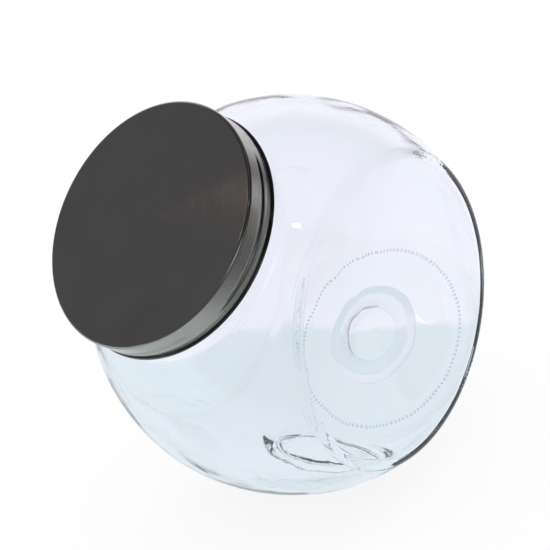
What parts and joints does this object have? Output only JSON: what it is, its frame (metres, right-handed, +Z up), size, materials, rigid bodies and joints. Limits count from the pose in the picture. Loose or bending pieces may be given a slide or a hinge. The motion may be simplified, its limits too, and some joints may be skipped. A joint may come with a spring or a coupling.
{
  "type": "screw-top glass jar",
  "caption": "Round tilted sweet jar of clear glass with two flat sides, an oval foot and a screw-on steel lid.",
  "frame": {"origin": "middle of the oval foot, on the ground plane", "axes": "+X across the jar from one flat side to the other, -Y the side that the mouth faces, +Z up"},
  "size_m": [0.1274, 0.2079, 0.2049],
  "materials": {
    "clear_glass": "clear, smooth, polished by the mould",
    "brushed_steel": "dark steel, brushed round its middle"
  },
  "bodies": {
    "root": {"glass_jar": "clear_glass", "lid": "brushed_steel"}
  },
  "joints": []
}
